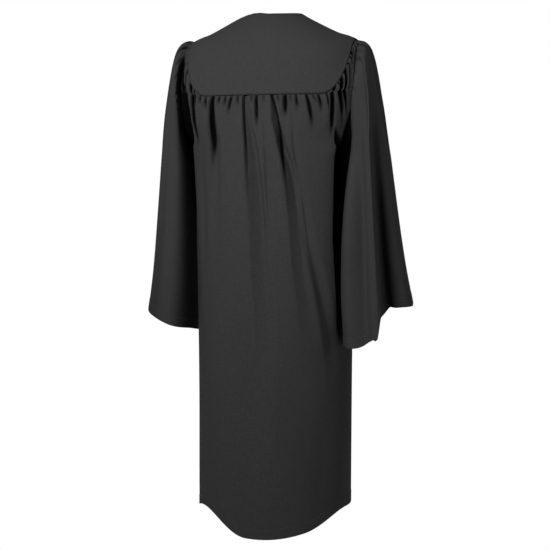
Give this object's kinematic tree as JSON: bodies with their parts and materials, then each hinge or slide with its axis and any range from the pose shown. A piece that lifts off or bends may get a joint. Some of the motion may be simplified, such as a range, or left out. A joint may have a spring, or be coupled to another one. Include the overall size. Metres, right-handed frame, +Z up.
{
  "type": "judicial robe",
  "caption": "Long black robe with a plain back yoke, a gathered back, bell sleeves and a zip front; hollow, filled out as if worn, hanging from the shoulders.",
  "frame": {"origin": "At the base of the wearer's neck, in the middle of the neck opening, 10 mm below the back neck edge: the height where the shoulders carry the robe.", "axes": "+X to the wearer's right, -Y to the back, +Y to the front with the zip, +Z up."},
  "size_m": [0.6601, 0.3769, 1.2203],
  "materials": {
    "gown_cloth": "matte polyester weave, charcoal black",
    "zip_tape": "matte woven tape, black",
    "zip_metal": "black enamelled zinc, satin"
  },
  "bodies": {
    "gown": {"back_yoke": "gown_cloth", "back_panel": "gown_cloth", "left_front": "gown_cloth", "right_front": "gown_cloth", "left_sleeve": "gown_cloth", "right_sleeve": "gown_cloth", "left_zip_tape": "zip_tape", "right_zip_tape": "zip_tape", "zip_slider": "zip_metal"},
    "pull_tab": {"pull_tab": "zip_metal"}
  },
  "joints": [
    {"name": "tab_hinge", "type": "hinge", "parent": "gown", "child": "pull_tab", "pos_m": [0, 0.12787, -0.17741], "axis": [1, 0, 0], "range_deg": [0, 170]}
  ]
}
